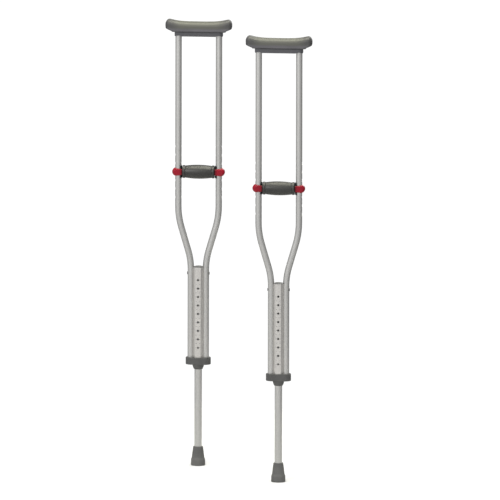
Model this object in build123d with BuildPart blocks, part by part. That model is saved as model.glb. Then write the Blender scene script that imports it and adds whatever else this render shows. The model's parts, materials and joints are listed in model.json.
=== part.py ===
from build123d import *
import os

# A pair of underarm crutches standing on their tips. Millimetres, +Z up, the floor at Z = 0.
# One crutch is drawn about its own leg's axis: X runs fore and aft, from one upright to the
# other, and -Y is its outer face, where the height button shows. Every finished piece is
# written twice, once at each crutch's place.

# --- driving dimensions ---------------------------------------------------------------------
CRUTCHES = {"left": (-129.5, 130), "right": (129.5, -130)}  # where each leg stands
ENDS = {"front": -1, "rear": 1}                             # which way along X each end lies
INCH = 25.4                                                 # pitch of every row of adjusting holes
EDGE_R = 1.5                                                # usual rounding of an edge

# uprights: round aluminium tube, wide apart at the top and together at the bottom
TUBE_R, TUBE_WALL = 9.525, 1.25
WIDE_X, NARROW_X = 60.0, 22.3
UPRIGHT_BOTTOM, UPRIGHT_TOP = 306.5, 1312.0
BEND_LOW_Z, BEND_HIGH_Z = 616.0, 745.0
BEND_LOW_R, BEND_HIGH_R = 200.0, 230.0

# leg: one tube that telescopes in the sleeve, on a rubber tip
LEG_R, LEG_WALL = 11.1, 1.25
LEG_BOTTOM, LEG_TOP = 8.0, 366.0
TIP_BASE_R, TIP_SKIRT_R, TIP_SKIRT_TOP = 21.5, 20.6, 19.0
TIP_SHOULDER_R, TIP_SHOULDER_Z = 19.2, 21.6
TIP_WAIST_R, TIP_WAIST_Z = 18.3, 24.0
TIP_TOP, TIP_MOUTH_R, TIP_CONE_R = 56.5, 13.6, 14.8
TREAD_RINGS, TREAD_DEPTH = ((9.0, 11.5), (15.0, 17.5)), 1.8
WASHER_R, WASHER_BORE_R, WASHER_THICK = 10.9, 4.0, 1.5
SNUG = 0.05                                             # gap of a pressed or pulled-on fit

# sleeve between the lower uprights, with the row of height holes in its outer face
SLEEVE_BOTTOM, SLEEVE_TOP = 306.5, 594.5
SLEEVE_BORE_R = 11.45
BAND_X, BAND_Y, CROWN_Y = 8.0, 12.7, 13.3               # its raised middle band
FLANK_X, FLANK_Y = 15.4, 6.2                            # where its flanks meet the uprights
TUBE_SEAT_GAP = 0.2
GROOVE_HALF, GROOVE_DEPTH = 0.7, 0.6                    # line down the middle of its outer face
HEIGHT_HOLES, HEIGHT_HOLE_R = 9, 3.1
LOWEST_HEIGHT_HOLE_Z = 353.7
CAP_TOP, CAP_ARC_R, CAP_PLUG_DEPTH, CAP_PLUG_R = 596.5, 70.0, 8.0, 11.2

# cross bolt, clear above the leg at its shortest setting
BOLT_Z, BOLT_R, BOLT_HOLE_R = 576.0, 2.9, 3.1
BOLT_THREAD_R, BOLT_HEAD_R, BOLT_HEAD_THICK = 1.95, 4.6, 2.2
BOLT_HEAD_ROUND = 1.4
SPOT_FACE_DEPTH, SPOT_FACE_R = 0.9, 4.75                # flat cut in the tube under each head
NUT_BORE_R, NUT_BORE_END_X = 2.0, 21.0
NUT_MOUTH_X, BOLT_SHOULDER_X, BOLT_TIP_X = -5.0, -5.5, 20.0

# collar that holds the lower ends and guides the leg
COLLAR_BOTTOM, COLLAR_TOP, SOCKET_FLOOR = 303.0, 324.0, 306.0
COLLAR_LONG, COLLAR_DEEP = 74.5, 36.0
FUNNEL_ROOT_R, FUNNEL_SHOULDER_R, FUNNEL_SHOULDER_Z = 17.9, 15.8, 295.3
FUNNEL_BOTTOM, FUNNEL_LIP_R, FUNNEL_LIP = 288.5, 13.4, 0.8
GUIDE_R = 11.2
SOCKET_GAP = 0.1

# underarm saddle and pad
SADDLE_BOTTOM, SADDLE_SEAT_Z = 1288.0, 1300.5
SADDLE_LONG, SADDLE_DEEP, SADDLE_CORNER_R = 143.0, 33.0, 11.0
SADDLE_ARCH, SADDLE_ARCH_R = 3.0, 18.0                  # arched cut-out round each upright
SADDLE_WALL, SOCKET_WALL, SOCKET_TOP_GAP = 3.0, 4.0, 0.5
SPINE_LONG, SPINE_DEEP, SPINE_TOP, SPINE_CORNER_R = 160.0, 25.0, 1317.0, 8.0
PAD_LONG, PAD_DEEP, PAD_CORNER_R = 198.0, 44.0, 16.0
PAD_SEAT_X = 73.0
PAD_MIDDLE_Z, PAD_HORN_Z, PAD_HORN_X = 1330.8, 1336.2, 86.0
PAD_WING_X, PAD_WING_Z = 94.5, 1309.5                   # lower corner of each end
PAD_NOSE_Z = 1322.0                                     # foremost point of each end
POCKET_GAP = 0.3

# handgrip, held at one of the seven holes in each upright
GRIP_Z, GRIP_HOLES, GRIP_HOLE_R = 880.0, 7, 3.3
BOSS_HOLE_R = 4.8                                       # wider hole in each upright's outer wall
GRIP_MID_R, GRIP_WAIST_R, GRIP_RIM_R = 20.7, 18.2, 19.1
GRIP_WAIST_X, GRIP_RIM_X, GRIP_END_X = 37.5, 40.0, 47.0
GRIP_GROOVE_X, GRIP_GROOVE_R = 39.2, 17.8               # foot of the step up to each rim
GRIP_CHAMFER = 1.0
CORE_R = 9.5
CRADLE_HALF, CRADLE_WALL, CRADLE_GAP = 18.0, 2.0, 0.35
CRADLE_DEEP, CRADLE_EDGE_X = 18.0, 54.0
NECK_R, NECK_CLEARANCE = 9.4, 1.0

# red clip with its locking pin
CLIP_BALL_X, CLIP_BALL_R = 66.5, 11.7
CLIP_TIP_X, CLIP_TIP_HALF, CLIP_TIP_R = 48.0, 9.4, 3.0
CLIP_DEEP, CLIP_BARREL_R, CLIP_BARREL_X = 25.6, 14.6, 64.2  # its round, domed cross-section
CLIP_EDGE_R = 2.0
CLIP_SLOT_R = 9.9
BOSS_R, BOSS_TIP_X = 4.4, 68.8                          # enters the upright's outer hole
PIN_R, PIN_TIP_X, PIN_SEAT_X, PIN_CHAMFER = 3.0, 38.0, 75.5, 0.8

# snap button on its spring
BUTTON_R, BUTTON_TIP_Y, LEAF_Y = 2.85, -15.4, -8.4
LEAF_THICK, LEAF_WIDE, FOLD_Z, FOLD_HALF = 0.8, 8.0, 318.0, 1.6
LEAF_TOP, OUTER_LEAF_BEND_Z, INNER_LEAF_TOP = 363.0, 345.7, 341.7
LEAF_BEND_R, BUTTON_EDGE_R = 1.4, 1.3

# small fixings on the inner face, which is the +Y side
FIXING_R, FIXING_SHANK_R, FIXING_HEAD_R, FIXING_HEAD_THICK = 1.8, 1.7, 3.4, 1.6
FIXING_REACH = 4.0                                      # how far each goes past the tube's outside
RIVET_Z, RIVET_ROUND = 1295.7, 1.1
COLLAR_SCREW_Z, SCREW_SINK_DEPTH, SCREW_SINK_R, SCREW_HOLE_DEPTH = 314.0, 1.8, 3.6, 10.0

BOLT_SEAT_X = NARROW_X + TUBE_R - SPOT_FACE_DEPTH

os.makedirs("parts", exist_ok=True)


def write_pair(piece, name):
    """Labels a finished piece and writes one copy of it at each crutch's place."""
    for crutch, (x, y) in CRUTCHES.items():
        placed = piece.part.moved(Location((x, y, 0)))
        placed.label = f"{crutch}_{name}"
        export_step(placed, f"parts/{crutch}_{name}.step")


def centred_row(middle, count):
    """Heights of a row of adjusting holes about its middle hole."""
    return [middle + (n - (count - 1) / 2) * INCH for n in range(count)]


def sleeve_profile(z, gap=0.0):
    """The sleeve's outer outline at a height, with its concave seats for the two uprights."""
    with BuildSketch(Plane.XY.offset(z)) as profile:
        with BuildLine():
            ThreePointArc((-BAND_X, -BAND_Y), (0, -CROWN_Y), (BAND_X, -BAND_Y))
            Polyline(
                (BAND_X, -BAND_Y), (FLANK_X, -FLANK_Y), (FLANK_X, FLANK_Y), (BAND_X, BAND_Y)
            )
            ThreePointArc((BAND_X, BAND_Y), (0, CROWN_Y), (-BAND_X, BAND_Y))
            Polyline(
                (-BAND_X, BAND_Y), (-FLANK_X, FLANK_Y), (-FLANK_X, -FLANK_Y), (-BAND_X, -BAND_Y)
            )
        make_face()
        with Locations((NARROW_X, 0), (-NARROW_X, 0)):
            Circle(TUBE_R + TUBE_SEAT_GAP, mode=Mode.SUBTRACT)
        if gap:
            offset(amount=gap, kind=Kind.INTERSECTION)
    return profile.sketch


# --- uprights -------------------------------------------------------------------------------
def make_upright(side):
    """One bent tube, with its row of handgrip holes through both walls along X."""
    with BuildPart() as upright:
        with BuildLine(Plane.XZ):
            FilletPolyline(
                (side * NARROW_X, UPRIGHT_BOTTOM),
                (side * NARROW_X, BEND_LOW_Z),
                (side * WIDE_X, BEND_HIGH_Z),
                (side * WIDE_X, UPRIGHT_TOP),
                radius=[BEND_LOW_R, BEND_HIGH_R],
            )
        with BuildSketch(Plane.XY.offset(UPRIGHT_BOTTOM)):
            with Locations((side * NARROW_X, 0)):
                Circle(TUBE_R)
                Circle(TUBE_R - TUBE_WALL, mode=Mode.SUBTRACT)
        sweep()
        with BuildSketch(Plane.YZ.offset(side * WIDE_X)):
            with Locations(*[(0, z) for z in centred_row(GRIP_Z, GRIP_HOLES)]):
                Circle(GRIP_HOLE_R)
        extrude(amount=2 * TUBE_R, both=True, mode=Mode.SUBTRACT)
        with BuildSketch(Plane.YZ.offset(side * WIDE_X)):
            with Locations(*[(0, z) for z in centred_row(GRIP_Z, GRIP_HOLES)]):
                Circle(BOSS_HOLE_R)
        extrude(amount=side * 2 * TUBE_R, mode=Mode.SUBTRACT)
        with BuildSketch(Plane.YZ.offset(side * NARROW_X)):
            with Locations((0, BOLT_Z)):
                Circle(BOLT_HOLE_R)
        extrude(amount=2 * TUBE_R, both=True, mode=Mode.SUBTRACT)
        with BuildSketch(Plane.YZ.offset(side * BOLT_SEAT_X)):
            with Locations((0, BOLT_Z)):
                Circle(SPOT_FACE_R)
        extrude(amount=side * TUBE_R, mode=Mode.SUBTRACT)
        with BuildSketch(Plane.XZ):
            with Locations((side * NARROW_X, COLLAR_SCREW_Z), (side * WIDE_X, RIVET_Z)):
                Circle(FIXING_R)
        extrude(amount=-2 * TUBE_R, mode=Mode.SUBTRACT)
    return upright


# --- sleeve and what closes and crosses it --------------------------------------------------
with BuildPart() as sleeve:
    extrude(sleeve_profile(SLEEVE_BOTTOM), amount=SLEEVE_TOP - SLEEVE_BOTTOM)
    fillet(
        sleeve.edges().filter_by(Axis.Z).filter_by(lambda e: abs(e.center().Y) > FLANK_Y + 1),
        EDGE_R,
    )
    with BuildSketch(Plane.XY.offset(SLEEVE_BOTTOM)):
        with Locations((0, -CROWN_Y)):
            Rectangle(2 * GROOVE_HALF, 2 * GROOVE_DEPTH)
    extrude(amount=SLEEVE_TOP - SLEEVE_BOTTOM, mode=Mode.SUBTRACT)
    with BuildSketch(Plane.XY.offset(SLEEVE_BOTTOM)):
        Circle(SLEEVE_BORE_R)
    extrude(amount=SLEEVE_TOP - SLEEVE_BOTTOM, mode=Mode.SUBTRACT)
    with BuildSketch(Plane.XZ):
        with Locations(*[(0, LOWEST_HEIGHT_HOLE_Z + n * INCH) for n in range(HEIGHT_HOLES)]):
            Circle(HEIGHT_HOLE_R)
    extrude(amount=2 * CROWN_Y, mode=Mode.SUBTRACT)
    with BuildSketch(Plane.YZ):
        with Locations((0, BOLT_Z)):
            Circle(BOLT_HOLE_R)
    extrude(amount=NARROW_X, both=True, mode=Mode.SUBTRACT)

with BuildPart() as sleeve_cap:
    extrude(sleeve_profile(SLEEVE_TOP), amount=CAP_TOP - SLEEVE_TOP)
    with BuildSketch(Plane.XZ):
        with Locations((0, CAP_TOP - CAP_ARC_R)):
            Circle(CAP_ARC_R)
    extrude(amount=COLLAR_DEEP, both=True, mode=Mode.INTERSECT)
    with BuildSketch(Plane.XY.offset(SLEEVE_TOP)):
        Circle(CAP_PLUG_R)
    extrude(amount=-CAP_PLUG_DEPTH)

with BuildPart() as cross_bolt:
    with BuildSketch(Plane.YZ.offset(-BOLT_SEAT_X)):
        with Locations((0, BOLT_Z)):
            Circle(BOLT_HEAD_R)
    extrude(amount=-BOLT_HEAD_THICK)
    fillet(cross_bolt.edges().sort_by(Axis.X)[0], BOLT_HEAD_ROUND)
    with BuildSketch(Plane.YZ.offset(-BOLT_SEAT_X)):
        with Locations((0, BOLT_Z)):
            Circle(BOLT_R)
    extrude(amount=BOLT_SEAT_X + BOLT_SHOULDER_X)
    with BuildSketch(Plane.YZ.offset(-BOLT_SEAT_X)):
        with Locations((0, BOLT_Z)):
            Circle(BOLT_THREAD_R)
    extrude(amount=BOLT_SEAT_X + BOLT_TIP_X)

with BuildPart() as cross_nut:
    with BuildSketch(Plane.YZ.offset(BOLT_SEAT_X)):
        with Locations((0, BOLT_Z)):
            Circle(BOLT_HEAD_R)
    extrude(amount=BOLT_HEAD_THICK)
    fillet(cross_nut.edges().sort_by(Axis.X)[-1], BOLT_HEAD_ROUND)
    with BuildSketch(Plane.YZ.offset(NUT_MOUTH_X)):
        with Locations((0, BOLT_Z)):
            Circle(BOLT_R)
    extrude(amount=BOLT_SEAT_X - NUT_MOUTH_X)
    with BuildSketch(Plane.YZ.offset(NUT_MOUTH_X)):
        with Locations((0, BOLT_Z)):
            Circle(NUT_BORE_R)
    extrude(amount=NUT_BORE_END_X - NUT_MOUTH_X, mode=Mode.SUBTRACT)

# --- collar ---------------------------------------------------------------------------------
with BuildPart() as collar:
    with BuildSketch(Plane.XY.offset(COLLAR_BOTTOM)):
        SlotOverall(COLLAR_LONG, COLLAR_DEEP)
    extrude(amount=COLLAR_TOP - COLLAR_BOTTOM)
    fillet(collar.edges().filter_by(lambda e: abs(e.tangent_at(0).Z) < 0.5), EDGE_R)
    with BuildSketch(Plane.XZ):
        with BuildLine():
            Polyline(
                (0, SOCKET_FLOOR), (FUNNEL_ROOT_R, SOCKET_FLOOR), (FUNNEL_ROOT_R, COLLAR_BOTTOM),
                (FUNNEL_SHOULDER_R, FUNNEL_SHOULDER_Z),
                (FUNNEL_LIP_R, FUNNEL_BOTTOM + FUNNEL_LIP),
                (FUNNEL_LIP_R - FUNNEL_LIP, FUNNEL_BOTTOM), (0, FUNNEL_BOTTOM),
                close=True,
            )
        make_face()
    revolve(axis=Axis.Z)
    with BuildSketch(Plane.XY.offset(FUNNEL_BOTTOM)):
        Circle(GUIDE_R)
    extrude(amount=COLLAR_TOP - FUNNEL_BOTTOM, mode=Mode.SUBTRACT)
    with BuildSketch(Plane.XY.offset(SOCKET_FLOOR)):
        with Locations((NARROW_X, 0), (-NARROW_X, 0)):
            Circle(TUBE_R + SOCKET_GAP)
    extrude(amount=COLLAR_TOP - SOCKET_FLOOR, mode=Mode.SUBTRACT)
    extrude(
        sleeve_profile(SOCKET_FLOOR, gap=SOCKET_GAP),
        amount=COLLAR_TOP - SOCKET_FLOOR,
        mode=Mode.SUBTRACT,
    )
    with Locations(*[
        Plane(origin=(side * NARROW_X, COLLAR_DEEP / 2, COLLAR_SCREW_Z), z_dir=(0, 1, 0))
        for side in ENDS.values()
    ]):
        CounterBoreHole(FIXING_R, SCREW_SINK_R, SCREW_SINK_DEPTH, depth=SCREW_HOLE_DEPTH)

# the screws' points end inside the tubes
with BuildPart() as collar_screws:
    head_y = COLLAR_DEEP / 2 - SCREW_SINK_DEPTH
    with BuildSketch(Plane.XZ.offset(-head_y)):
        with Locations(*[(side * NARROW_X, COLLAR_SCREW_Z) for side in ENDS.values()]):
            Circle(FIXING_HEAD_R)
    extrude(amount=-FIXING_HEAD_THICK)
    with BuildSketch(Plane.XZ.offset(-head_y)):
        with Locations(*[(side * NARROW_X, COLLAR_SCREW_Z) for side in ENDS.values()]):
            Circle(FIXING_SHANK_R)
    extrude(amount=head_y - TUBE_R + FIXING_REACH)

# --- underarm saddle and pad ----------------------------------------------------------------
with BuildPart() as pad_saddle:
    with BuildSketch(Plane.XY.offset(SADDLE_BOTTOM)):
        RectangleRounded(SADDLE_LONG, SADDLE_DEEP, SADDLE_CORNER_R)
    extrude(amount=SADDLE_SEAT_Z - SADDLE_BOTTOM)
    fillet(pad_saddle.faces().sort_by(Axis.Z)[0].edges(), EDGE_R / 2)
    with BuildSketch(Plane.XZ):
        arch_z = SADDLE_BOTTOM + SADDLE_ARCH - SADDLE_ARCH_R
        with Locations((WIDE_X, arch_z), (-WIDE_X, arch_z)):
            Circle(SADDLE_ARCH_R)
    extrude(amount=SADDLE_DEEP, both=True, mode=Mode.SUBTRACT)
    with BuildSketch(Plane.XY.offset(SADDLE_SEAT_Z)):
        RectangleRounded(SPINE_LONG, SPINE_DEEP, SPINE_CORNER_R)
    extrude(amount=SPINE_TOP - SADDLE_SEAT_Z)
    with BuildSketch(Plane.XY.offset(SADDLE_BOTTOM)):
        with Locations((WIDE_X, 0), (-WIDE_X, 0)):
            Circle(TUBE_R + SOCKET_GAP)
    extrude(amount=UPRIGHT_TOP + SOCKET_TOP_GAP - SADDLE_BOTTOM, mode=Mode.SUBTRACT)
    with BuildSketch(Plane.XZ):
        with Locations(*[(side * WIDE_X, RIVET_Z) for side in ENDS.values()]):
            Circle(FIXING_R)
    extrude(amount=-SADDLE_DEEP, mode=Mode.SUBTRACT)
    # hollowed from below between the sockets, as a moulding is
    with BuildSketch(Plane.XY.offset(SADDLE_BOTTOM)):
        hollow_half = WIDE_X - TUBE_R - SOCKET_WALL
        RectangleRounded(2 * hollow_half, SADDLE_DEEP - 2 * SADDLE_WALL, SADDLE_CORNER_R / 2)
    extrude(amount=SADDLE_SEAT_Z - SADDLE_BOTTOM - SADDLE_WALL, mode=Mode.SUBTRACT)

with BuildPart() as saddle_rivets:
    with BuildSketch(Plane.XZ.offset(-SADDLE_DEEP / 2)):
        with Locations(*[(side * WIDE_X, RIVET_Z) for side in ENDS.values()]):
            Circle(FIXING_HEAD_R)
    extrude(amount=-FIXING_HEAD_THICK)
    fillet(saddle_rivets.edges().group_by(Axis.Y)[-1], RIVET_ROUND)
    with BuildSketch(Plane.XZ.offset(-SADDLE_DEEP / 2)):
        with Locations(*[(side * WIDE_X, RIVET_Z) for side in ENDS.values()]):
            Circle(FIXING_SHANK_R)
    extrude(amount=SADDLE_DEEP / 2 - TUBE_R + FIXING_REACH)

# plain closed form of the soft pad: top dished along X, horns up at both ends
with BuildPart() as underarm_pad:
    nose_x = PAD_LONG / 2
    with BuildSketch(Plane.XZ):
        with BuildLine():
            ThreePointArc((-PAD_HORN_X, PAD_HORN_Z), (0, PAD_MIDDLE_Z), (PAD_HORN_X, PAD_HORN_Z))
            for side in ENDS.values():
                TangentArc(
                    (side * nose_x, PAD_NOSE_Z), (side * PAD_HORN_X, PAD_HORN_Z), tangent=(0, 1)
                )
                TangentArc(
                    (side * nose_x, PAD_NOSE_Z), (side * PAD_WING_X, PAD_WING_Z), tangent=(0, -1)
                )
                Line((side * PAD_WING_X, PAD_WING_Z), (side * PAD_SEAT_X, SADDLE_SEAT_Z))
            Line((PAD_SEAT_X, SADDLE_SEAT_Z), (-PAD_SEAT_X, SADDLE_SEAT_Z))
        make_face()
    extrude(amount=PAD_DEEP / 2, both=True)
    with BuildSketch(Plane.XY.offset(SADDLE_SEAT_Z)):
        RectangleRounded(PAD_LONG, PAD_DEEP, PAD_CORNER_R)
    extrude(amount=PAD_HORN_Z - SADDLE_BOTTOM, mode=Mode.INTERSECT)
    with BuildSketch(Plane.XY.offset(SADDLE_SEAT_Z)):
        RectangleRounded(
            SPINE_LONG + 2 * POCKET_GAP, SPINE_DEEP + 2 * POCKET_GAP, SPINE_CORNER_R + POCKET_GAP
        )
    extrude(amount=SPINE_TOP - SADDLE_SEAT_Z, mode=Mode.SUBTRACT)

# --- leg ------------------------------------------------------------------------------------
with BuildPart() as leg_tube:
    with BuildSketch(Plane.XY.offset(LEG_BOTTOM)):
        Circle(LEG_R)
        Circle(LEG_R - LEG_WALL, mode=Mode.SUBTRACT)
    extrude(amount=LEG_TOP - LEG_BOTTOM)
    with BuildSketch(Plane.XZ):
        with Locations((0, LOWEST_HEIGHT_HOLE_Z)):
            Circle(HEIGHT_HOLE_R)
    extrude(amount=2 * LEG_R, mode=Mode.SUBTRACT)

with BuildPart() as rubber_tip:
    with BuildSketch(Plane.XZ):
        with BuildLine():
            Polyline(
                (0, 0), (TIP_BASE_R, 0), (TIP_SKIRT_R, TIP_SKIRT_TOP),
                (TIP_SHOULDER_R, TIP_SHOULDER_Z), (TIP_WAIST_R, TIP_WAIST_Z),
                (TIP_CONE_R, TIP_TOP - EDGE_R), (TIP_MOUTH_R, TIP_TOP), (0, TIP_TOP), close=True,
            )
        make_face()
    revolve(axis=Axis.Z)
    fillet(rubber_tip.faces().sort_by(Axis.Z)[0].edges(), EDGE_R)
    with BuildSketch(Plane.XY.offset(LEG_BOTTOM)):
        Circle(LEG_R + SNUG)
    extrude(amount=TIP_TOP - LEG_BOTTOM, mode=Mode.SUBTRACT)
    with BuildSketch(Plane.XY.offset(LEG_BOTTOM)):
        Circle(WASHER_R + SNUG)
    extrude(amount=-WASHER_THICK, mode=Mode.SUBTRACT)
    with BuildSketch(Plane.XY):
        for inner_r, outer_r in reversed(TREAD_RINGS):
            Circle(outer_r)
            Circle(inner_r, mode=Mode.SUBTRACT)
    extrude(amount=TREAD_DEPTH, mode=Mode.SUBTRACT)

with BuildPart() as tip_washer:
    with BuildSketch(Plane.XY.offset(LEG_BOTTOM)):
        Circle(WASHER_R)
        Circle(WASHER_BORE_R, mode=Mode.SUBTRACT)
    extrude(amount=-WASHER_THICK)

# --- snap button: one strip of spring steel folded in a V, with the button on its outer leaf --
with BuildPart() as snap_button:
    with BuildSketch(Plane.YZ):
        with BuildLine():
            FilletPolyline(
                (LEAF_Y, LEAF_TOP), (LEAF_Y, OUTER_LEAF_BEND_Z),
                (-FOLD_HALF, FOLD_Z), (FOLD_HALF, FOLD_Z), (-LEAF_Y, INNER_LEAF_TOP),
                radius=LEAF_BEND_R,
            )
        trace(line_width=LEAF_THICK)
    extrude(amount=LEAF_WIDE / 2, both=True)
    with BuildSketch(Plane.XZ.offset(-LEAF_Y)):
        with Locations((0, LOWEST_HEIGHT_HOLE_Z)):
            Circle(BUTTON_R)
    extrude(amount=LEAF_Y - BUTTON_TIP_Y)
    fillet(snap_button.edges().sort_by(Axis.Y)[0], BUTTON_EDGE_R)

# --- handgrip -------------------------------------------------------------------------------
GRIP_AXIS = Axis((0, 0, GRIP_Z), (1, 0, 0))
GRIP_PLANE = Plane(origin=(0, 0, GRIP_Z), x_dir=(1, 0, 0), z_dir=(0, -1, 0))

with BuildPart() as grip_cover:
    with BuildSketch(GRIP_PLANE):
        with BuildLine():
            ThreePointArc((-GRIP_WAIST_X, GRIP_WAIST_R), (0, GRIP_MID_R), (GRIP_WAIST_X, GRIP_WAIST_R))
            Polyline(
                (GRIP_WAIST_X, GRIP_WAIST_R), (GRIP_GROOVE_X, GRIP_GROOVE_R),
                (GRIP_RIM_X, GRIP_RIM_R), (GRIP_END_X - GRIP_CHAMFER, GRIP_RIM_R),
                (GRIP_END_X, GRIP_RIM_R - GRIP_CHAMFER), (GRIP_END_X, CORE_R),
                (-GRIP_END_X, CORE_R), (-GRIP_END_X, GRIP_RIM_R - GRIP_CHAMFER),
                (GRIP_CHAMFER - GRIP_END_X, GRIP_RIM_R), (-GRIP_RIM_X, GRIP_RIM_R),
                (-GRIP_GROOVE_X, GRIP_GROOVE_R), (-GRIP_WAIST_X, GRIP_WAIST_R),
            )
        make_face()
    revolve(axis=GRIP_AXIS)

with BuildPart() as grip_core:
    with BuildSketch(Plane.YZ.offset(-GRIP_END_X)):
        with Locations((0, GRIP_Z)):
            Circle(CORE_R)
            Circle(GRIP_HOLE_R, mode=Mode.SUBTRACT)
    extrude(amount=2 * GRIP_END_X)


def make_grip_end(side):
    """Black end piece: a neck on the grip's end and a tall cradle against the upright."""
    inner_r = TUBE_R + CRADLE_GAP
    with BuildPart() as grip_end:
        with BuildSketch(Plane.YZ.offset(side * GRIP_END_X)):
            with Locations((0, GRIP_Z)):
                Circle(NECK_R)
        extrude(amount=side * (WIDE_X - inner_r - NECK_CLEARANCE - GRIP_END_X))
        with BuildSketch(Plane.XY.offset(GRIP_Z - CRADLE_HALF)):
            with Locations((side * WIDE_X, 0)):
                Circle(inner_r + CRADLE_WALL)
            with Locations((side * (CRADLE_EDGE_X + GRIP_END_X) / 2, 0)):
                Rectangle(CRADLE_EDGE_X - GRIP_END_X, CRADLE_DEEP, mode=Mode.INTERSECT)
        extrude(amount=2 * CRADLE_HALF)
        with BuildSketch(Plane.XY.offset(GRIP_Z - CRADLE_HALF)):
            with Locations((side * WIDE_X, 0)):
                Circle(inner_r)
        extrude(amount=2 * CRADLE_HALF, mode=Mode.SUBTRACT)
        with BuildSketch(Plane.YZ.offset(side * GRIP_END_X)):
            with Locations((0, GRIP_Z)):
                Circle(GRIP_HOLE_R)
        extrude(amount=side * TUBE_R, mode=Mode.SUBTRACT)
    return grip_end


def make_clip(side):
    """Red clip: a round-ended U that slides over the upright along X."""
    with BuildPart() as clip:
        with BuildSketch(Plane.XZ):
            with Locations((side * CLIP_BALL_X, GRIP_Z)):
                Circle(CLIP_BALL_R)
            tip_z = CLIP_TIP_HALF - CLIP_TIP_R
            with Locations(*[
                (side * (CLIP_TIP_X + CLIP_TIP_R), GRIP_Z + dz) for dz in (-tip_z, tip_z)
            ]):
                Circle(CLIP_TIP_R)
            make_hull()
        extrude(amount=CLIP_DEEP / 2, both=True)
        with BuildSketch(GRIP_PLANE):
            with Locations((side * CLIP_BARREL_X, 0)):
                Circle(CLIP_BARREL_R)
            with Locations((side * (CLIP_BARREL_X - CLIP_BARREL_R), 0)):
                Rectangle(2 * CLIP_BARREL_R, 2 * CLIP_BARREL_R)
            with Locations((0, -CLIP_BARREL_R)):
                Rectangle(4 * WIDE_X, 2 * CLIP_BARREL_R, mode=Mode.SUBTRACT)
        revolve(axis=GRIP_AXIS, mode=Mode.INTERSECT)
        fillet(clip.edges(), CLIP_EDGE_R)
        with BuildSketch(Plane.XY.offset(GRIP_Z - CLIP_BALL_R)):
            with Locations((side * WIDE_X, 0)):
                Circle(CLIP_SLOT_R)
            with Locations((side * (WIDE_X - CLIP_BALL_R), 0)):
                Rectangle(2 * CLIP_BALL_R, 2 * CLIP_SLOT_R)
        extrude(amount=2 * CLIP_BALL_R, mode=Mode.SUBTRACT)
        with BuildSketch(Plane.YZ.offset(side * BOSS_TIP_X)):
            with Locations((0, GRIP_Z)):
                Circle(BOSS_R)
        extrude(amount=side * (PIN_SEAT_X - BOSS_TIP_X))
        with BuildSketch(Plane.YZ.offset(side * WIDE_X)):
            with Locations((0, GRIP_Z)):
                Circle(PIN_R)
        extrude(amount=side * (PIN_SEAT_X - WIDE_X), mode=Mode.SUBTRACT)
    return clip


def make_clip_pin(side):
    """Steel pin set in the clip: it passes both walls of the upright into the grip's core."""
    with BuildPart() as pin:
        with BuildSketch(Plane.YZ.offset(side * PIN_TIP_X)):
            with Locations((0, GRIP_Z)):
                Circle(PIN_R)
        extrude(amount=side * (PIN_SEAT_X - PIN_TIP_X))
        chamfer(pin.edges().sort_by(Axis.X)[0 if side > 0 else -1], PIN_CHAMFER)
    return pin


# --- writing --------------------------------------------------------------------------------
for end, side in ENDS.items():
    write_pair(make_upright(side), f"{end}_upright")
    write_pair(make_grip_end(side), f"{end}_grip_end")
    write_pair(make_clip(side), f"{end}_clip")
    write_pair(make_clip_pin(side), f"{end}_clip_pin")

for piece, name in [
    (sleeve, "sleeve"),
    (sleeve_cap, "sleeve_cap"),
    (cross_bolt, "cross_bolt"),
    (cross_nut, "cross_nut"),
    (collar, "collar"),
    (collar_screws, "collar_screws"),
    (pad_saddle, "pad_saddle"),
    (saddle_rivets, "saddle_rivets"),
    (underarm_pad, "underarm_pad"),
    (leg_tube, "leg_tube"),
    (rubber_tip, "rubber_tip"),
    (tip_washer, "tip_washer"),
    (snap_button, "snap_button"),
    (grip_cover, "grip_cover"),
    (grip_core, "grip_core"),
]:
    write_pair(piece, name)
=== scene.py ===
import json
import math

import bmesh
import bpy
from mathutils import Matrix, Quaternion, Vector


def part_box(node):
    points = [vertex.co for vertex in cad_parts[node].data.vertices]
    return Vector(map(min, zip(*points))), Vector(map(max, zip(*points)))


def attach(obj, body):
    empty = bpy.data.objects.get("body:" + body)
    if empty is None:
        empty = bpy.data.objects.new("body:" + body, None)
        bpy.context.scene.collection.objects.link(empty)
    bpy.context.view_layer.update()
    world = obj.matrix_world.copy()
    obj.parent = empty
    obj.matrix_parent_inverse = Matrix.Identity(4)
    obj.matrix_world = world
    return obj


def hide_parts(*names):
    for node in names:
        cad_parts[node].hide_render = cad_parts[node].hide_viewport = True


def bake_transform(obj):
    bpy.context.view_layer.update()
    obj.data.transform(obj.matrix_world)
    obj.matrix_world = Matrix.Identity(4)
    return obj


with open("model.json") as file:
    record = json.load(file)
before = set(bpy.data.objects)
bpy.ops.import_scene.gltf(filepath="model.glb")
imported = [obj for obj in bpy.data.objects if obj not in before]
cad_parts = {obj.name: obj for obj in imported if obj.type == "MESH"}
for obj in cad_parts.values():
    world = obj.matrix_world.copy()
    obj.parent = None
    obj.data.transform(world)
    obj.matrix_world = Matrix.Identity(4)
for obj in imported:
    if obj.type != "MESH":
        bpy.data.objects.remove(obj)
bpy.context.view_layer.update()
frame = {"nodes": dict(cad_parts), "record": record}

# A pair of underarm crutches, in metres, in the CAD model's frame. The pads, handgrip covers,
# rubber tips and spring snap buttons are built here in place of their plain CAD solids. All the
# other pieces keep their CAD shape and get their finish here.

MM = 0.001
CRUTCHES = ("left", "right")
INCH = 0.0254                       # pitch of the adjusting holes
LOWEST_HEIGHT_HOLE_Z = 0.3537


# --- camera ---------------------------------------------------------------------------------
CAMERA_AZIMUTH, CAMERA_ELEVATION = math.radians(4.6), math.radians(10.0)
CAMERA_WIDTH = 1.4785               # width of the view
CAMERA_RIGHT, CAMERA_UP = 0.0338, 0.6598    # the view's middle, from the frame's origin
CAMERA_AWAY, CAMERA_CLIP = 4.0, 60.0
CAMERA_ROLL = math.radians(0.11)


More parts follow.
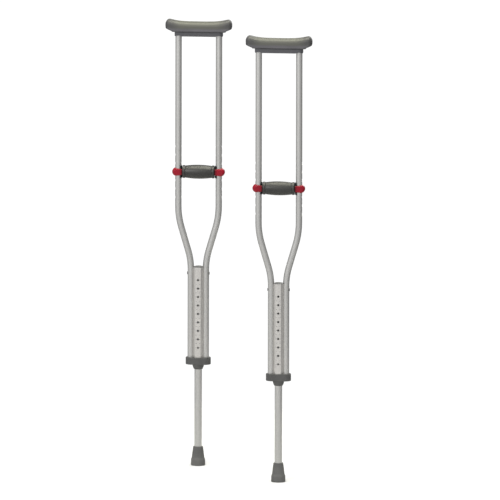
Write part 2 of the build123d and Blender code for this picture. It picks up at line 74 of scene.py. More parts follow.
def make_camera():
    """A distant view from the crutches' outer side, a little above the horizon."""
    a, e = CAMERA_AZIMUTH, CAMERA_ELEVATION
    back = Vector((math.sin(a) * math.cos(e), -math.cos(a) * math.cos(e), math.sin(e)))
    right = Vector((math.cos(a), math.sin(a), 0))
    up = back.cross(right)
    data = bpy.data.cameras.new("camera")
    data.type = "ORTHO"
    data.ortho_scale = CAMERA_WIDTH
    data.clip_end = CAMERA_CLIP
    camera = bpy.data.objects.new("camera", data)
    bpy.context.scene.collection.objects.link(camera)
    camera.location = right * CAMERA_RIGHT + up * CAMERA_UP + back * CAMERA_AWAY
    aimed = (-back).to_track_quat("-Z", "Y") @ Quaternion((0, 0, 1), CAMERA_ROLL)
    camera.rotation_euler = aimed.to_euler()
    bpy.context.scene.camera = camera


# --- material helpers -----------------------------------------------------------------------
FINISH = "_finish"                  # a material's name is its slot's name and this


def add(tree, kind, inputs=(), **settings):
    """One node, its settings, and its inputs by name or number: a value, or a socket to link."""
    node = tree.nodes.new(kind)
    for key, value in settings.items():
        setattr(node, key, value)
    for key, value in dict(inputs).items():
        if isinstance(value, bpy.types.NodeSocket):
            tree.links.new(value, node.inputs[key])
        else:
            node.inputs[key].default_value = value
    return node


def start(name, **uniform):
    """A new material: its node tree and Principled shader, with the uniform values set."""
    material = bpy.data.materials.new(name + FINISH)
    material.use_nodes = True
    shader = material.node_tree.nodes["Principled BSDF"]
    for key, value in uniform.items():
        shader.inputs[key.replace("_", " ")].default_value = value
    return material, material.node_tree, shader


def noise(tree, scale, stretch=(1, 1, 1), detail=3.0, rough=0.55):
    """Noise with that many cells per metre, stretched along the axes of the row frame."""
    place = add(tree, "ShaderNodeTexCoord")
    size = add(tree, "ShaderNodeMapping", {"Vector": place.outputs["Object"], "Scale": stretch})
    texture = add(tree, "ShaderNodeTexNoise", {
        "Vector": size.outputs[0], "Scale": scale, "Detail": detail, "Roughness": rough,
    })
    return texture.outputs["Fac"]


def ramp(tree, value, low, high, out_low=0.0, out_high=1.0):
    """A value from low..high taken smoothly to out_low..out_high."""
    node = add(tree, "ShaderNodeMapRange", {
        "Value": value, "From Min": low, "From Max": high, "To Min": out_low, "To Max": out_high,
    }, interpolation_type="SMOOTHSTEP")
    return node.outputs["Result"]


def maths(tree, operation, *values):
    """Math node on numbers or sockets."""
    return add(tree, "ShaderNodeMath", enumerate(values), operation=operation).outputs[0]


def mix(tree, share, first, second):
    """Colour from first to second by share."""
    node = add(tree, "ShaderNodeMix", {"Factor": share}, data_type="RGBA")
    for socket, colour in ((node.inputs[6], first), (node.inputs[7], second)):
        if isinstance(colour, bpy.types.NodeSocket):
            tree.links.new(colour, socket)
        else:
            socket.default_value = (*colour, 1.0)
    return node.outputs[2]


def shade(colour, factor):
    """A colour made darker or lighter."""
    return tuple(min(1.0, c * factor) for c in colour)


def bump(tree, shader, heights):
    """Chained bumps on the shader, each (height socket, strength, distance in metres)."""
    normal = None
    for height, strength, distance in heights:
        inputs = {"Height": height, "Strength": strength, "Distance": distance}
        if normal is not None:
            inputs["Normal"] = normal
        normal = add(tree, "ShaderNodeBump", inputs).outputs[0]
    tree.links.new(normal, shader.inputs["Normal"])


def crutch_place(tree):
    """A point's distance to the side of its own crutch's leg, its depth from it, and its height."""
    place = add(tree, "ShaderNodeTexCoord").outputs["Object"]
    x, y, z = add(tree, "ShaderNodeSeparateXYZ", {0: place}).outputs
    axis = crutch_axis("right")
    across = maths(tree, "ABSOLUTE", maths(tree, "SUBTRACT", maths(tree, "ABSOLUTE", x), axis.x))
    depth = maths(tree, "SUBTRACT", y, maths(tree, "MULTIPLY", maths(tree, "SIGN", x), axis.y))
    return across, depth, z


EDGE_POINTINESS = (0.53, 0.62)      # flat enough to be no edge, and sharp enough to be one


def worn_edges(tree):
    """How far a point is on a sharp outer edge, broken up by noise."""
    pointed = add(tree, "ShaderNodeNewGeometry").outputs["Pointiness"]
    edge = ramp(tree, pointed, *EDGE_POINTINESS)
    return maths(tree, "MULTIPLY", edge, ramp(tree, noise(tree, 220), 0.35, 0.65, 0.35, 1.0))


# --- materials ------------------------------------------------------------------------------
def anodised(name, colour, roughness=0.34, scuffs=0.25, ticks=False):
    """Satin anodised aluminium tube: lengthwise drawing lines, faint clouds and fine scuffs."""
    material, tree, shader = start(name, Metallic=1.0)
    lines = noise(tree, 1600, (1, 1, 0.012), detail=2.0)
    clouds = noise(tree, 9, (1, 1, 0.5), detail=4.0)
    scratches = ramp(tree, noise(tree, 700, (1, 1, 0.05), detail=1.0), 0.66, 0.74)
    patches = ramp(tree, noise(tree, 26, detail=3.0), 0.50, 0.66)
    scuffed = maths(tree, "MULTIPLY", maths(tree, "MULTIPLY", scratches, patches), scuffs)
    base = mix(tree, ramp(tree, lines, 0.3, 0.7), shade(colour, 0.95), shade(colour, 1.03))
    base = mix(tree, ramp(tree, clouds, 0.35, 0.7, 0.0, 0.5), base, shade(colour, 0.90))
    base = mix(tree, scuffed, base, shade(colour, 1.25))
    base = mix(tree, maths(tree, "MULTIPLY", worn_edges(tree), 0.4), base, shade(colour, 1.2))
    if ticks:
        base = mix(tree, tick_marks(tree), base, TICK_COLOUR)
    tree.links.new(base, shader.inputs["Base Color"])
    rough = maths(tree, "ADD", ramp(tree, lines, 0.25, 0.75, roughness - 0.04, roughness + 0.05),
                  ramp(tree, clouds, 0.3, 0.7, -0.03, 0.05))
    rough = maths(tree, "ADD", rough, maths(tree, "MULTIPLY", scuffed, 0.5))
    tree.links.new(rough, shader.inputs["Roughness"])
    bump(tree, shader, [(lines, 0.10, 0.1 * MM), (scuffed, 0.3, 0.05 * MM)])
    return material


TICK_COLOUR = (0.05, 0.05, 0.05)
TICK_PITCH = INCH / 2
TICK_HALF_THICK = 0.5 * MM
TICK_INNER, TICK_OUTER = 3.9 * MM, 6.8 * MM     # a mark's two ends, from the middle of the sleeve
TICK_ENDS = (-0.6, 16.6)            # the marks lie between these, counted up from the lowest hole
BAND_FRONT = 11.5 * MM              # the sleeve's outer band lies beyond this from the leg's axis


def tick_marks(tree):
    """Plain printed marks beside every height hole and halfway between, on the outer band."""
    across, depth, z = crutch_place(tree)
    count = maths(tree, "DIVIDE", maths(tree, "SUBTRACT", z, LOWEST_HEIGHT_HOLE_Z), TICK_PITCH)
    apart = maths(tree, "ABSOLUTE", maths(tree, "SUBTRACT", count, maths(tree, "ROUND", count)))
    line = maths(tree, "LESS_THAN", apart, TICK_HALF_THICK / TICK_PITCH)
    inside = maths(tree, "MULTIPLY", maths(tree, "GREATER_THAN", count, TICK_ENDS[0]),
                   maths(tree, "LESS_THAN", count, TICK_ENDS[1]))
    strip = maths(tree, "MULTIPLY", maths(tree, "GREATER_THAN", across, TICK_INNER),
                  maths(tree, "LESS_THAN", across, TICK_OUTER))
    near = maths(tree, "LESS_THAN", depth, -BAND_FRONT)
    worn = ramp(tree, noise(tree, 900, detail=2.0), 0.42, 0.56, 0.55, 0.95)
    printed = maths(tree, "MULTIPLY", maths(tree, "MULTIPLY", line, inside),
                    maths(tree, "MULTIPLY", strip, near))
    return maths(tree, "MULTIPLY", printed, worn)


FORK_SHADE_X = (50 * MM, 57 * MM)         # painted shade: a clip's fork tips darken inwards between these, next to the grip's rim


def moulded(name, colour, roughness, grain=0.35, specular=0.5, coat=0.0, edge=1.6, fork_shade=False):
    """Moulded plastic: fine spark-eroded grain, flow clouds and lighter rubbed edges; a clip's fork
    tips can also get painted shade.
    """
    material, tree, shader = start(name, Specular_IOR_Level=specular, Coat_Weight=coat,
                                   Coat_Roughness=0.12)
    fine = noise(tree, 2600, detail=2.0)
    clouds = noise(tree, 30, detail=4.0)
    edges = worn_edges(tree)
    base = mix(tree, ramp(tree, clouds, 0.3, 0.7), shade(colour, 0.88), shade(colour, 1.10))
    base = mix(tree, ramp(tree, fine, 0.45, 0.75, 0.0, 0.35), base, shade(colour, 1.35))
    base = mix(tree, maths(tree, "MULTIPLY", edges, 0.5), base, shade(colour, edge))
    if fork_shade:
        # painted shade on the fork tips, where the clip meets the grip's rim
        across, _, _ = crutch_place(tree)
        base = mix(tree, ramp(tree, across, *FORK_SHADE_X, 0.55, 0.0), base, shade(colour, 0.15))
    tree.links.new(base, shader.inputs["Base Color"])
    rough = maths(tree, "ADD", ramp(tree, clouds, 0.3, 0.7, roughness - 0.05, roughness + 0.06),
                  maths(tree, "MULTIPLY", edges, -0.10))
    tree.links.new(rough, shader.inputs["Roughness"])
    bump(tree, shader, [(clouds, 0.15, 0.3 * MM), (fine, grain, 0.06 * MM)])
    return material


PAD_TONE_Z = (1.3095, 1.3155)       # the pad's skin turns from grey to olive between these
PAD_TOP_COLOUR = (0.114, 0.115, 0.094)
# painted shade: the darker grey the pad's top turns to at its rounded ends
PAD_END_SHADE_COLOUR = (0.070, 0.070, 0.068)
PAD_SHADE_FADE_X = (48 * MM, 88 * MM)     # painted shade: the olive fades to a darker grey between these, towards the rounded ends
PAD_END_SHADE_X = (90 * MM, 97 * MM)    # painted shade thickens towards its ends between these


def rubber(name, colour, roughness, pebble, bloom, specular=0.35, pad=False):
    """Rubber or foam skin: pebbled surface with dark pits, pale bloom in soft clouds; a pad's
    skin is also olive on top and darker at its rounded ends with painted shade."""
    material, tree, shader = start(name, Specular_IOR_Level=specular)
    place = add(tree, "ShaderNodeTexCoord")
    cells = add(tree, "ShaderNodeTexVoronoi", {"Vector": place.outputs["Object"], "Scale": pebble},
                feature="SMOOTH_F1")
    cells = cells.outputs["Distance"]
    fine = noise(tree, 4200, detail=2.0)
    clouds = noise(tree, 16, detail=5.0, rough=0.6)
    specks = ramp(tree, noise(tree, 900, detail=1.0), 0.60, 0.72)
    base = mix(tree, ramp(tree, clouds, 0.35, 0.68), shade(colour, 0.86), shade(colour, 1.0 + bloom))
    base = mix(tree, ramp(tree, cells, 0.2, 0.7, 0.0, 0.30), base, shade(colour, 0.62))
    base = mix(tree, maths(tree, "MULTIPLY", specks, 0.15), base, shade(colour, 1.7))
    base = mix(tree, maths(tree, "MULTIPLY", worn_edges(tree), 0.45), base, shade(colour, 1.5))
    if pad:
        across, _, z = crutch_place(tree)
        above = ramp(tree, z, *PAD_TONE_Z, 0.0, 0.8)
        towards_end = ramp(tree, across, *PAD_SHADE_FADE_X)
        base = mix(tree, above, base, mix(tree, towards_end, PAD_TOP_COLOUR, PAD_END_SHADE_COLOUR))
        # painted shade on the pad's rounded ends, broken up by noise
        end_shade = maths(tree, "MULTIPLY", ramp(tree, across, *PAD_END_SHADE_X),
                      ramp(tree, noise(tree, 260, detail=3.0), 0.30, 0.60, 0.45, 0.85))
        base = mix(tree, end_shade, base, shade(colour, 0.40))
    tree.links.new(base, shader.inputs["Base Color"])
    rough = ramp(tree, clouds, 0.3, 0.7, roughness - 0.07, roughness + 0.07)
    tree.links.new(rough, shader.inputs["Roughness"])
    bump(tree, shader, [(clouds, 0.10, 0.6 * MM), (cells, 0.35, 0.10 * MM), (fine, 0.25, 0.04 * MM)])
    return material


def steel(name, colour, roughness):
    """Plated or blackened steel: fine turned grain, faint stains, bright rubbed edges."""
    material, tree, shader = start(name, Metallic=1.0)
    grain = noise(tree, 2400, (1, 1, 0.15), detail=3.0)
    stains = noise(tree, 90, detail=4.0)
    base = mix(tree, ramp(tree, grain, 0.3, 0.7), shade(colour, 0.88), shade(colour, 1.10))
    base = mix(tree, ramp(tree, stains, 0.5, 0.75, 0.0, 0.5), base, shade(colour, 0.7))
    base = mix(tree, maths(tree, "MULTIPLY", worn_edges(tree), 0.6), base, shade(colour, 1.8))
    tree.links.new(base, shader.inputs["Base Color"])
    tree.links.new(ramp(tree, stains, 0.3, 0.7, roughness - 0.06, roughness + 0.10),
                   shader.inputs["Roughness"])
    bump(tree, shader, [(grain, 0.15, 0.05 * MM), (stains, 0.1, 0.1 * MM)])
    return material


def make_materials():
    """Every finish, by the record's material slot."""
    return {
        "pad_foam": rubber("pad_foam", (0.122, 0.119, 0.130), 0.48, 1500, 0.12, specular=0.36,
                           pad=True),
        "saddle_plastic": moulded("saddle_plastic", (0.079, 0.079, 0.086), 0.50, specular=0.35),
        "upright_aluminium": anodised("upright_aluminium", (0.60, 0.596, 0.582), roughness=0.43),
        "leg_aluminium": anodised("leg_aluminium", (0.59, 0.587, 0.575), scuffs=0.5),
        "sleeve_aluminium": anodised("sleeve_aluminium", (0.69, 0.672, 0.645), ticks=True),
        "cap_plastic": moulded("cap_plastic", (0.13, 0.13, 0.13), 0.50, specular=0.35),
        "collar_plastic": moulded("collar_plastic", (0.093, 0.093, 0.092), 0.48, specular=0.35),
        "dark_steel": steel("dark_steel", (0.07, 0.07, 0.07), 0.42),
        "fixings": steel("fixings", (0.55, 0.55, 0.53), 0.32),
        "spring_steel": steel("spring_steel", (0.17, 0.167, 0.16), 0.34),
        "tip_rubber": rubber("tip_rubber", (0.140, 0.140, 0.137), 0.66, 1100, 0.15),
        "grip_foam": rubber("grip_foam", (0.027, 0.027, 0.025), 0.40, 1900, 0.25, specular=0.60),
        "core_plastic": moulded("core_plastic", (0.05, 0.05, 0.05), 0.5),
        "black_plastic": moulded("black_plastic", (0.020, 0.020, 0.020), 0.42, specular=0.35),
        "red_plastic": moulded("red_plastic", (0.29, 0.001, 0.014), 0.24, grain=0.10, specular=0.22,
                               coat=0.22, edge=1.2, fork_shade=True),
    }


# --- mesh helpers ---------------------------------------------------------------------------
SHARP_ANGLE = math.radians(38)      # folds sharper than this are shaded as edges


def crutch_axis(crutch):
    """The point on the floor under a crutch's leg."""
    low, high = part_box(f"{crutch}_leg_tube")
    return Vector(((low.x + high.x) / 2, (low.y + high.y) / 2, 0))


def finish_piece(mesh, name, crutch, part, material, body):
    """Makes the object of a bmesh, in place of the crutch's CAD node of that part."""
    bmesh.ops.recalc_face_normals(mesh, faces=mesh.faces)
    data = bpy.data.meshes.new(name)
    mesh.to_mesh(data)
    mesh.free()
    data.materials.append(material)
    data.shade_smooth()
    data.set_sharp_from_angle(angle=SHARP_ANGLE)
    piece = bpy.data.objects.new(name, data)
    bpy.context.scene.collection.objects.link(piece)
    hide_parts(f"{crutch}_{part}")
    if body:
        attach(piece, body)
    return piece


def loft(rings):
    """A bmesh through rings of points, one after another, each end closed to its middle."""
    mesh = bmesh.new()
    made = [[mesh.verts.new(point) for point in ring] for ring in rings]
    count = len(made[0])
    for one, two in zip(made, made[1:]):
        for k in range(count):
            mesh.faces.new((one[k], one[(k + 1) % count], two[(k + 1) % count], two[k]))
    for ring in (made[0], made[-1]):
        tip = mesh.verts.new(sum((v.co for v in ring), Vector()) / count)
        for k in range(count):
            mesh.faces.new((ring[k], ring[(k + 1) % count], tip))
    return mesh


def turned(profile, place, steps=128):
    """A bmesh of a closed (along, radius) profile turned about an axis; place puts a point."""
    mesh = bmesh.new()
    made = []
    for n in range(steps):
        angle = 2 * math.pi * n / steps
        made.append([
            mesh.verts.new(place(along, radius * math.cos(angle), radius * math.sin(angle)))
            for along, radius in profile
        ])
    count = len(profile)
    for n in range(steps):
        one, two = made[n], made[(n + 1) % steps]
        for k in range(count):
            after = (k + 1) % count
            mesh.faces.new((one[k], one[after], two[after], two[k]))
    return mesh


def arc(centre, radius, start_deg, end_deg, steps=6):
    """Points of a round stretch of a profile."""
    points = []
    for n in range(steps + 1):
        angle = math.radians(start_deg + (end_deg - start_deg) * n / steps)
        points.append((centre[0] + radius * math.cos(angle), centre[1] + radius * math.sin(angle)))
    return points


def soft_min(a, b, width):
    """The lower of two heights, rounded where they meet over about that width."""
    share = max(0.0, min(1.0, 0.5 + (b - a) / (2 * width)))
    return b * (1 - share) + a * share - width * share * (1 - share)


# --- underarm pad ---------------------------------------------------------------------------
PAD_DIP = 7.0 * MM                  # how far the top's middle lies below its horns
PAD_DISH_POWER = 3.6                # how late the dished top turns up
PAD_HORN_X, PAD_HORN_RISE = 84 * MM, 1.0 * MM   # where it would peak, and how far above the CAD top
PAD_SEAT_HALF = 73 * MM             # flat underside on the saddle
PAD_WING_SLOPE = 0.42               # the underside's rise beyond it
PAD_END_HEIGHT = 21.5 * MM          # height of the round ends' foremost point
PAD_END_RISE = 1.6 * MM             # how far above the CAD top an end's curve starts
PAD_ROUND_X = 84 * MM               # where the ends start to close
PAD_CLOSE_TOP, PAD_CLOSE_UNDER, PAD_CLOSE_SIDE = 2.2, 2.4, 2.5      # powers of the ends' curves
PAD_BLEND_TOP, PAD_BLEND_UNDER = 2.5 * MM, 1.5 * MM
PAD_STATIONS, PAD_SIDE_STEPS = 72, 26
PAD_REACH = 0.9985                  # the last stations' share of the half length
PAD_WIDEST = 0.40                   # share of the section's height where it is widest
PAD_LIP, PAD_LIP_Z, PAD_LIP_SPREAD = 0.7 * MM, 3.6 * MM, 2.0 * MM
PAD_SEAM_DEEP = 0.7 * MM            # the parting line, at the widest
SAME_ANGLE = 1e-6
PAD_UPPER_POWER, PAD_LOWER_POWER = 3.2, 5.6     # of the section above and below its widest


def pad_end_share(x, half, power):
    """1 along the pad, closing to 0 in a rounded end."""
    past = max(0.0, (abs(x) - PAD_ROUND_X) / (half - PAD_ROUND_X))
    return max(0.0, 1 - past ** power) ** (1 / power)


def pad_section(x, half, deep, high):
    """Underside and top height, and half depth, of the pad at x from its middle."""
    dished = high + PAD_HORN_RISE - PAD_DIP + PAD_DIP * (abs(x) / PAD_HORN_X) ** PAD_DISH_POWER
    end_rise = high + PAD_END_RISE - PAD_END_HEIGHT
    end_top = PAD_END_HEIGHT + end_rise * pad_end_share(x, half, PAD_CLOSE_TOP)
    top = soft_min(dished, end_top, PAD_BLEND_TOP)
    wing = max(0.0, abs(x) - PAD_SEAT_HALF) * PAD_WING_SLOPE
    end_low = PAD_END_HEIGHT - PAD_END_HEIGHT * pad_end_share(x, half, PAD_CLOSE_UNDER)
    under = -soft_min(-wing, -end_low, PAD_BLEND_UNDER)
    depth = deep * pad_end_share(x, half, PAD_CLOSE_SIDE)
    return under, top, depth


def pad_ring(x, half, deep, high):
    """Points round the pad's section: rolled over the top, squarer below, with lip and seam."""
    under, top, depth = pad_section(x, half, deep, high)
    middle = under + PAD_WIDEST * (top - under)
    angles = [math.pi * (n / PAD_SIDE_STEPS - 0.5) for n in range(PAD_SIDE_STEPS + 1)]
    points = []
    for side in (1, -1):
        for angle in (angles if side > 0 else angles[::-1]):
            upper = angle > 0
            power = 2 / (PAD_UPPER_POWER if upper else PAD_LOWER_POWER)
            y = depth * abs(math.cos(angle)) ** power
            rise = (top - middle) if upper else (middle - under)
            z = middle + math.copysign(rise * abs(math.sin(angle)) ** power, angle)
            lip = PAD_LIP * math.exp(-(((z - under - PAD_LIP_Z) / PAD_LIP_SPREAD) ** 2))
            y += lip * depth / deep if y > depth / 2 else 0.0
            if abs(angle) < SAME_ANGLE:
                y -= PAD_SEAM_DEEP * depth / deep
            points.append(Vector((x, side * y, z)))
        points.pop()
    return points


def make_pad(crutch, material):
    """Moulded underarm pad: dished top with raised horns, rolled sides, round ends."""
    low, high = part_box(f"{crutch}_underarm_pad")
    middle = Vector(((low.x + high.x) / 2, (low.y + high.y) / 2, low.z))
    half, deep, tall = (high.x - low.x) / 2, (high.y - low.y) / 2, high.z - low.z
    rings = []
    for n in range(PAD_STATIONS + 1):
        x = PAD_REACH * half * math.sin(math.pi * (n / PAD_STATIONS - 0.5))
        rings.append([middle + point for point in pad_ring(x, half, deep, tall)])
    piece = finish_piece(loft(rings), f"{crutch}_pad", crutch, "underarm_pad", material,
                         f"{crutch}_frame")
    return piece


# --- handgrip cover -------------------------------------------------------------------------
GRIP_BARREL_END = 9.5 * MM          # from each end of the cover to the end of its barrel
GRIP_WAIST_DEEP = 2.6 * MM          # how far the barrel's ends lie below its belly
GRIP_BELLY_POWER, GRIP_STEPS = 2.1, 20
GRIP_RIM_WIDE, GRIP_RIM_DEEP = 7.0 * MM, 1.5 * MM   # width, and how far below the belly
GRIP_GROOVE_AWAY, GRIP_GROOVE_DEEP = 1.0 * MM, 0.5 * MM     # from the rim, and below the waist
GRIP_GROOVE_ROUND, GRIP_END_ROUND, GRIP_MOUTH_ROUND = 0.7 * MM, 1.6 * MM, 0.6 * MM
GRIP_MOUTH_Z = 0.7 * MM             # the mouth's rounding is centred this far outside the bore


def make_grip(crutch, material):
    """Moulded handgrip cover: a barrel with a groove and a rim at each end."""
    low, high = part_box(f"{crutch}_grip_cover")
    middle = (low + high) / 2
    half = (high.x - low.x) / 2
    belly = (high.z - low.z) / 2
    core_low, core_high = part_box(f"{crutch}_grip_core")
    bore = (core_high.z - core_low.z) / 2
    waist_x, rim_x = half - GRIP_BARREL_END, half - GRIP_RIM_WIDE
    waist_r, rim_r = belly - GRIP_WAIST_DEEP, belly - GRIP_RIM_DEEP
    groove_r = waist_r - GRIP_GROOVE_DEEP
    edge, end, mouth = GRIP_GROOVE_ROUND, GRIP_END_ROUND, GRIP_MOUTH_ROUND
    barrel = []
    for n in range(-GRIP_STEPS, GRIP_STEPS + 1):
        share = n / GRIP_STEPS
        fall = (belly - waist_r) * abs(share) ** GRIP_BELLY_POWER
        barrel.append((waist_x * share, belly - fall))
    right = (
        arc((rim_x - GRIP_GROOVE_AWAY, groove_r + edge), edge, -150, -40, 4)
        + arc((rim_x + edge, rim_r - edge), edge, 165, 90, 4)
        + arc((half - end, rim_r - end), end, 90, 0, 6)
        + arc((half - mouth, bore + GRIP_MOUTH_Z), mouth, 0, -90, 4)
    )
    profile = barrel + right + [(-along, radius) for along, radius in reversed(right)]
    mesh = turned(profile, lambda along, y, z: middle + Vector((along, y, z)))
    piece = finish_piece(mesh, f"{crutch}_grip", crutch, "grip_cover", material, f"{crutch}_grip")
    return piece


# --- rubber tip -----------------------------------------------------------------------------
TIP_SLACK = 0.05 * MM               # round the tube and the washer
TIP_HUB_R = 0.3 * MM                # the turned profile stops this far from the axis
TIP_TREAD = ((9.0 * MM, 11.5 * MM), (15.0 * MM, 17.5 * MM))     # each groove's inner and outer radius
TIP_TREAD_DEEP = 1.8 * MM
TREAD_FLARE = 0.1 * MM              # how much wider a groove is at its mouth, on each side
TREAD_EASE_Z, TREAD_EASE_R = 0.2 * MM, 0.3 * MM     # its bottom corners
TIP_SOLE_ROUND = 1.5 * MM
# height on the skirt, and how far that lies inside the foot's radius
TIP_SKIRT = ((6.0 * MM, 0.15 * MM), (12.0 * MM, 0.45 * MM))
TIP_SHOULDER_Z, TIP_SHOULDER_IN, TIP_SHOULDER_ROUND = 17.9 * MM, 2.0 * MM, 1.25 * MM
TIP_BEAD_Z, TIP_BEAD_R, TIP_BEAD_ROUND = 53.7 * MM, 14.0 * MM, 1.1 * MM
TIP_MOUTH_R, TIP_MOUTH_ROUND = 12.9 * MM, 0.8 * MM
TIP_LEAD_IN = ((0.6 * MM, 0.4 * MM), (1.4 * MM, 0.0))   # depth in the mouth, and outside the bore
# height and radius up the cone in millimetres, from the skirt's shoulder to under the bead
TIP_CONE = ((20.2, 19.7), (21.6, 19.1), (23.0, 18.6), (24.8, 18.25), (30.0, 17.75), (38.0, 16.85),
            (45.0, 15.9), (50.0, 15.25), (52.2, 14.9))


def make_tip(crutch, material):
    """Rubber tip: flared foot with two tread grooves, a cone and a beaded mouth."""
    low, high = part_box(f"{crutch}_rubber_tip")
    centre = crutch_axis(crutch)
    foot, tall = (high.x - low.x) / 2, high.z
    tube_low, tube_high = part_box(f"{crutch}_leg_tube")
    washer_low, washer_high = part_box(f"{crutch}_tip_washer")
    bore = (tube_high.x - tube_low.x) / 2 + TIP_SLACK
    pocket = (washer_high.x - washer_low.x) / 2 + TIP_SLACK
    deep = TIP_TREAD_DEEP
    sole = [(0.0, TIP_HUB_R)]
    for inner, outer in TIP_TREAD:
        sole += [(0.0, inner - TREAD_FLARE), (deep - TREAD_EASE_Z, inner),
                 (deep, inner + TREAD_EASE_R), (deep, outer - TREAD_EASE_R),
                 (deep - TREAD_EASE_Z, outer), (0.0, outer + TREAD_FLARE)]
    outside = (
        arc((TIP_SOLE_ROUND, foot - TIP_SOLE_ROUND), TIP_SOLE_ROUND, 180, 92, 6)
        + [(along, foot - inset) for along, inset in TIP_SKIRT]
        + arc((TIP_SHOULDER_Z, foot - TIP_SHOULDER_IN), TIP_SHOULDER_ROUND, 88, 35, 5)
        + [(along * MM, radius * MM) for along, radius in TIP_CONE]
        + arc((TIP_BEAD_Z, TIP_BEAD_R), TIP_BEAD_ROUND, 140, 30, 6)
        + arc((tall - TIP_MOUTH_ROUND, TIP_MOUTH_R), TIP_MOUTH_ROUND, 70, -30, 5)
        + [(tall - down, bore + out) for down, out in TIP_LEAD_IN]
    )
    inside = [(tube_low.z, bore), (tube_low.z, pocket), (washer_low.z, pocket),
              (washer_low.z, TIP_HUB_R)]
    profile = sole + outside + inside
    mesh = turned(profile, lambda along, x, y: centre + Vector((x, y, along)))
    return finish_piece(mesh, f"{crutch}_tip", crutch, "rubber_tip", material, f"{crutch}_leg")


# --- snap button ----------------------------------------------------------------------------
LEAF_THICK, LEAF_WIDE = 0.8 * MM, 8.0 * MM
OUTER_BEND, INNER_TOP = 6 * MM, 10 * MM     # below the button: the outer leaf's bend, the inner's end
BEND_IN, BEND_LONG = 0.5 * MM, 4 * MM       # a leaf's set towards the leg's axis, and its length
FOLD_R, FOLD_DEG = 1.9 * MM, range(190, 351, 16)
BUTTON_R, BUTTON_EDGE_R = 2.85 * MM, 1.6 * MM
BUTTON_STEPS = 48
BUTTON_POLE = 0.02 * MM             # the turned profile stops this far from the axis


def make_snap_button(crutch, material):
    """V-shaped spring strip in the leg with the round button on its outer leaf."""
    low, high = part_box(f"{crutch}_snap_button")
    centre = crutch_axis(crutch)
    hole_z = LOWEST_HEIGHT_HOLE_Z
    leaf_y = 8.4 * MM               # from the leg's axis to the middle of each leaf
    fold_z = low.z + FOLD_R
    path = [(-leaf_y, high.z), (-leaf_y, hole_z - OUTER_BEND),
            (-leaf_y + BEND_IN, hole_z - OUTER_BEND - BEND_LONG)]
    path += [(FOLD_R * math.cos(math.radians(a)), fold_z + FOLD_R * math.sin(math.radians(a)))
             for a in FOLD_DEG]
    path += [(leaf_y - BEND_IN, hole_z - INNER_TOP - BEND_LONG), (leaf_y, hole_z - INNER_TOP)]
    mesh = bmesh.new()
    rows = []
    for n, (y, z) in enumerate(path):
        before, after = path[max(0, n - 1)], path[min(len(path) - 1, n + 1)]
        along = Vector((0, after[0] - before[0], after[1] - before[1])).normalized()
        across = Vector((0, along.z, -along.y)) * LEAF_THICK / 2
        at = centre + Vector((0, y, z))
        side = Vector((LEAF_WIDE / 2, 0, 0))
        rows.append([at + side + across, at - side + across, at - side - across, at + side - across])
    strip = [[mesh.verts.new(point) for point in row] for row in rows]
    for one, two in zip(strip, strip[1:]):
        for k in range(4):
            mesh.faces.new((one[k], one[(k + 1) % 4], two[(k + 1) % 4], two[k]))
    mesh.faces.new(strip[0])
    mesh.faces.new(strip[-1])
    length = centre.y - leaf_y - low.y
    dome = [(0.0, BUTTON_POLE), (0.0, BUTTON_R)]
    dome += arc((length - BUTTON_EDGE_R, BUTTON_R - BUTTON_EDGE_R), BUTTON_EDGE_R, 90, 12, 6)
    dome += [(length + BUTTON_POLE, BUTTON_POLE)]
    start_at = centre + Vector((0, -leaf_y, hole_z))
    button = turned(dome, lambda along, x, z: start_at + Vector((x, -along, z)),
                    steps=BUTTON_STEPS)
    shapes = bpy.data.meshes.new("button_part")
    button.to_mesh(shapes)
    button.free()
    mesh.from_mesh(shapes)
    bpy.data.meshes.remove(shapes)
    piece = finish_piece(mesh, f"{crutch}_spring_button", crutch, "snap_button", material, None)
    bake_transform(piece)
    return piece


# --- the CAD pieces' finishes ---------------------------------------------------------------
def finish_cad_nodes(materials):
    """Gives every CAD node the finish of its slot in the record."""
    slots = {part["node"]: part["material_slot"] for part in frame["record"]["subparts"]}
    for name, node in frame["nodes"].items():
        if not node.material_slots:
            node.data.materials.append(None)
        for holder in node.material_slots:
            holder.link = "OBJECT"
            holder.material = materials[slots[name]]


# --- floor and light ------------------------------------------------------------------------
FLOOR_HALF = 1.1
FLOOR_PALE, FLOOR_PALER = (0.845, 0.85, 0.885), (0.875, 0.88, 0.915)
FLOOR_BOUNCE = (0.60, 0.60, 0.61)   # the floor as it lights the object: darker than it looks
WORLD_BRIGHT, WORLD_DIM = 0.75, 0.28
WORLD_SEEN = 1.05                   # the plain white behind everything
TOWARDS_LIGHT = (-0.45, -0.80, 0.40)
LIT_POINT = (0, 0, 0.7)             # every softbox looks at this
WHITE, WARM_WHITE = (1, 1, 1), (1.0, 0.985, 0.82)


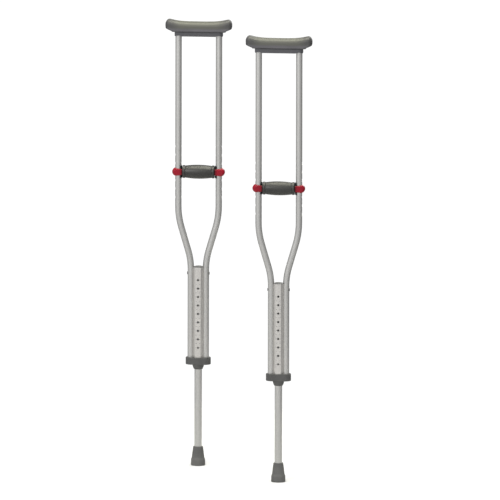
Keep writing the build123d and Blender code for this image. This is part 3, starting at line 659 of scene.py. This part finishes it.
def make_floor():
    """Plain pale floor."""
    mesh = bmesh.new()
    bmesh.ops.create_grid(mesh, x_segments=8, y_segments=8, size=FLOOR_HALF)
    data = bpy.data.meshes.new("floor")
    mesh.to_mesh(data)
    mesh.free()
    floor = bpy.data.objects.new("floor", data)
    bpy.context.scene.collection.objects.link(floor)
    material, tree, shader = start("floor", Roughness=0.9, Specular_IOR_Level=0.1)
    pale = mix(tree, noise(tree, 3), FLOOR_PALE, FLOOR_PALER)
    seen = add(tree, "ShaderNodeLightPath").outputs["Is Camera Ray"]
    tree.links.new(mix(tree, seen, FLOOR_BOUNCE, pale), shader.inputs["Base Color"])
    data.materials.append(material)


def make_world():
    """Soft studio light from all round, brighter from the front left and above."""
    world = bpy.data.worlds.new("studio")
    bpy.context.scene.world = world
    world.use_nodes = True
    tree = world.node_tree
    tree.nodes.clear()
    place = add(tree, "ShaderNodeTexCoord")
    facing = add(tree, "ShaderNodeVectorMath", {
        0: place.outputs["Generated"], 1: Vector(TOWARDS_LIGHT).normalized(),
    }, operation="DOT_PRODUCT").outputs["Value"]
    level = ramp(tree, facing, -0.7, 0.8, WORLD_DIM, WORLD_BRIGHT)
    light = add(tree, "ShaderNodeBackground", {"Color": (*WHITE, 1), "Strength": level})
    white = add(tree, "ShaderNodeBackground", {"Color": (*WHITE, 1), "Strength": WORLD_SEEN})
    seen = add(tree, "ShaderNodeLightPath").outputs["Is Camera Ray"]
    both = add(tree, "ShaderNodeMixShader", {0: seen, 1: light.outputs[0], 2: white.outputs[0]})
    add(tree, "ShaderNodeOutputWorld", {"Surface": both.outputs[0]})


def make_softbox(name, place, size, power, colour=WHITE):
    """A square area light."""
    data = bpy.data.lights.new(name, "AREA")
    data.shape = "SQUARE"
    data.size = size
    data.energy = power
    data.color = colour
    light = bpy.data.objects.new(name, data)
    bpy.context.scene.collection.objects.link(light)
    light.location = place
    aimed = (Vector(LIT_POINT) - Vector(place)).to_track_quat("-Z", "Y")
    light.rotation_euler = aimed.to_euler()


make_camera()
make_floor()
make_world()
make_softbox("key", (-1.4, -2.7, 2.4), 1.6, 32)
make_softbox("top", (0.1, 0.1, 3.4), 2.2, 84, colour=WARM_WHITE)
make_softbox("back_fill", (0.8, 2.8, 1.8), 1.6, 16)
bpy.context.scene.view_settings.view_transform = "Standard"

materials = make_materials()
finish_cad_nodes(materials)
for crutch in CRUTCHES:
    make_pad(crutch, materials["pad_foam"])
    make_grip(crutch, materials["grip_foam"])
    make_tip(crutch, materials["tip_rubber"])
    make_snap_button(crutch, materials["spring_steel"])
